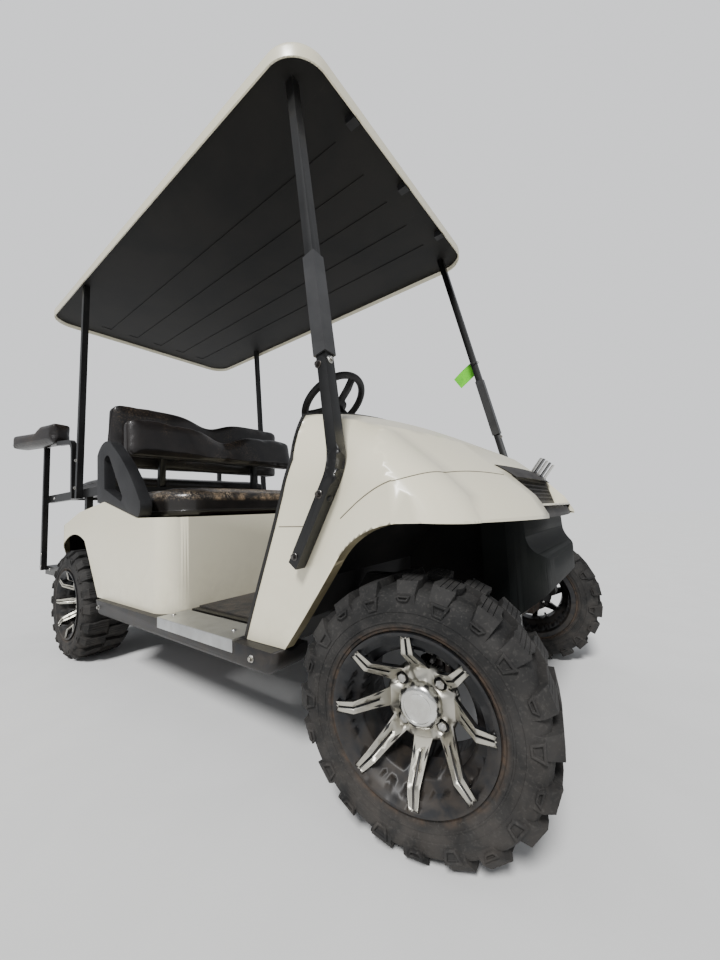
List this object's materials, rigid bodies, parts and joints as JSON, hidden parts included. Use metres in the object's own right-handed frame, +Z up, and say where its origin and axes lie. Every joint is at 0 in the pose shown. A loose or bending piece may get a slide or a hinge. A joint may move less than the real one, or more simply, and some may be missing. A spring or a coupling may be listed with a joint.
{
  "type": "golf cart",
  "caption": "Electric golf cart with a roof, a front bench seat, a rear-facing flip seat with a foot platform, and steered front wheels.",
  "frame": {"origin": "on the ground, at the middle of the whole cart's box", "axes": "+X forward, +Y to the driver's left, +Z up"},
  "size_m": [2.7434, 1.3098, 1.8],
  "materials": {
    "body_cream": "gloss",
    "liner_black": "matte",
    "dark_plastic": "matte",
    "black_paint": "satin",
    "grey_paint": "satin",
    "black_vinyl": "satin",
    "aluminium": "satin",
    "black_rubber": "matte",
    "tyre": "matte",
    "wheel_black": "gloss",
    "axle_iron": "matte",
    "bare_steel": "satin",
    "battery_case": "matte"
  },
  "bodies": {
    "chassis": {"front_cowl": "body_cream", "rear_body": "body_cream", "roof": "body_cream", "roof_liner": "liner_black", "roof_clips": "dark_plastic", "cowl_trim": "black_rubber", "dash_panel": "dark_plastic", "nose_panels": "dark_plastic", "front_apron": "dark_plastic", "floor_pan": "black_paint", "floor_mat": "black_rubber", "rocker_panels": "dark_plastic", "step_plates": "aluminium", "frame_rails": "black_paint", "frame_crossmembers": "black_paint", "front_axle": "axle_iron", "rear_axle": "axle_iron", "leaf_springs": "black_paint", "drive_motor": "black_paint", "battery_pack": "battery_case", "steering_column": "black_paint", "pedals": "black_rubber", "seat_back": "black_vinyl", "seat_back_frame": "black_paint", "rear_back": "black_vinyl", "hip_restraints": "dark_plastic", "rear_seat_frame": "black_paint", "arm_posts": "black_paint", "arm_pads": "black_vinyl", "foot_platform": "black_paint", "platform_arms": "black_paint", "front_struts": "black_paint", "strut_sleeves": "grey_paint", "rear_struts": "black_paint"},
    "steering_wheel_body": {"steering_wheel": "black_rubber"},
    "knuckle_right_body": {"knuckle_right": "axle_iron"},
    "knuckle_left_body": {"knuckle_left": "axle_iron"},
    "tie_rod_body": {"tie_rod": "bare_steel"},
    "wheel_front_right_body": {"tyre_front_right": "tyre", "wheel_front_right": "wheel_black"},
    "wheel_front_left_body": {"tyre_front_left": "tyre", "wheel_front_left": "wheel_black"},
    "wheel_rear_right_body": {"tyre_rear_right": "tyre", "wheel_rear_right": "wheel_black"},
    "wheel_rear_left_body": {"tyre_rear_left": "tyre", "wheel_rear_left": "wheel_black"},
    "seat": {"seat_cushion": "black_vinyl"},
    "rear_seat": {"rear_seat_cushion": "black_vinyl"}
  },
  "joints": [
    {"name": "steering", "type": "hinge", "parent": "chassis", "child": "steering_wheel_body", "pos_m": [0.29012, 0.27, 1.13], "axis": [-0.6402, 0, 0.7682], "range_deg": [-367.2, 172.8]},
    {"name": "steer_right", "type": "hinge", "parent": "chassis", "child": "knuckle_right_body", "pos_m": [1.12412, -0.429, 0.2286], "axis": [0, 0, 1], "range_deg": [-40.9, 19.3]},
    {"name": "steer_left", "type": "hinge", "parent": "chassis", "child": "knuckle_left_body", "pos_m": [1.12412, 0.429, 0.2286], "axis": [0, 0, 1], "range_deg": [-40.9, 19.3]},
    {"name": "tie_rod_pivot", "type": "hinge", "parent": "knuckle_right_body", "child": "tie_rod_body", "pos_m": [1.05536, -0.44212, 0.19], "axis": [0, 0, 1], "range_deg": [-19.3, 40.9]},
    {"name": "spin_front_right", "type": "hinge", "parent": "knuckle_right_body", "child": "wheel_front_right_body", "pos_m": [1.12412, -0.429, 0.2286], "axis": [-0.1874, 0.9823, 0], "continuous": true},
    {"name": "spin_front_left", "type": "hinge", "parent": "knuckle_left_body", "child": "wheel_front_left_body", "pos_m": [1.12412, 0.429, 0.2286], "axis": [-0.1874, 0.9823, 0], "continuous": true},
    {"name": "spin_rear_right", "type": "hinge", "parent": "chassis", "child": "wheel_rear_right_body", "pos_m": [-0.51188, -0.607, 0.2286], "axis": [0, 1, 0], "continuous": true},
    {"name": "spin_rear_left", "type": "hinge", "parent": "chassis", "child": "wheel_rear_left_body", "pos_m": [-0.51188, 0.607, 0.2286], "axis": [0, 1, 0], "continuous": true},
    {"name": "seat_lift", "type": "hinge", "parent": "chassis", "child": "seat", "pos_m": [-0.19688, 0, 0.66], "axis": [0, -1, 0], "range_deg": [0, 60]},
    {"name": "rear_seat_flip", "type": "hinge", "parent": "chassis", "child": "rear_seat", "pos_m": [-0.89988, 0, 0.734], "axis": [0, -1, 0], "range_deg": [0, 180]}
  ],
  "couplings": [
    {"joint": "steer_right", "follows": "steering", "ratio": 0.11111},
    {"joint": "steer_left", "follows": "steering", "ratio": 0.11111},
    {"joint": "tie_rod_pivot", "follows": "steering", "ratio": -0.11111}
  ]
}
